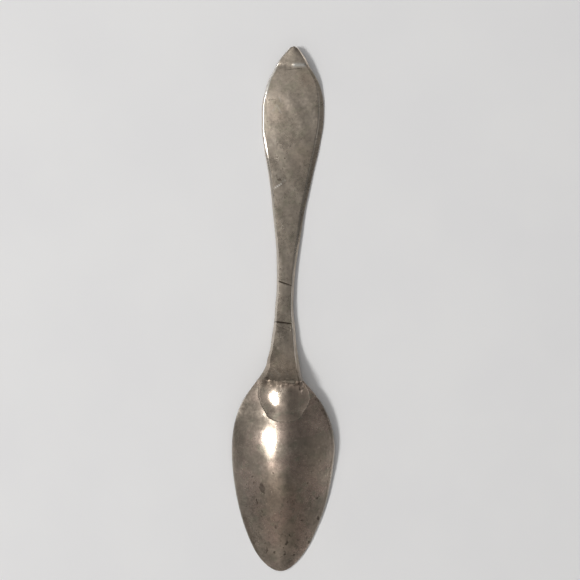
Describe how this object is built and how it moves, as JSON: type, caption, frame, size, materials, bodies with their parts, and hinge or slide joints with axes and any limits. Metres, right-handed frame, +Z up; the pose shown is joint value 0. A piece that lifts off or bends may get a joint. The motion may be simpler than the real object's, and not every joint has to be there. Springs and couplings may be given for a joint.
{
  "type": "spoon",
  "caption": "Teaspoon with an egg-shaped dished bowl, a rounded tongue at the heel, a slim stem and a pointed flat blade, for stirring and serving small portions.",
  "frame": {"origin": "on the table, under the middle of the spoon's length and width, the spoon lying face down", "axes": "+Z up, +Y from the bowl's tip towards the handle's tip, +X to the right when seen from above with the bowl at the bottom"},
  "size_m": [0.0294, 0.15, 0.0102],
  "materials": {
    "bowl_silver": "tarnished silver, polished high spots, dark pits",
    "handle_silver": "tarnished silver, satin, fine scratches",
    "heel_silver": "tarnished silver, hammered and worn",
    "solder": "dull solder with dark edges"
  },
  "bodies": {
    "root": {"bowl": "bowl_silver", "handle": "handle_silver", "heel_drop": "heel_silver", "seam_solder": "solder", "drop_solder": "solder"}
  },
  "joints": []
}
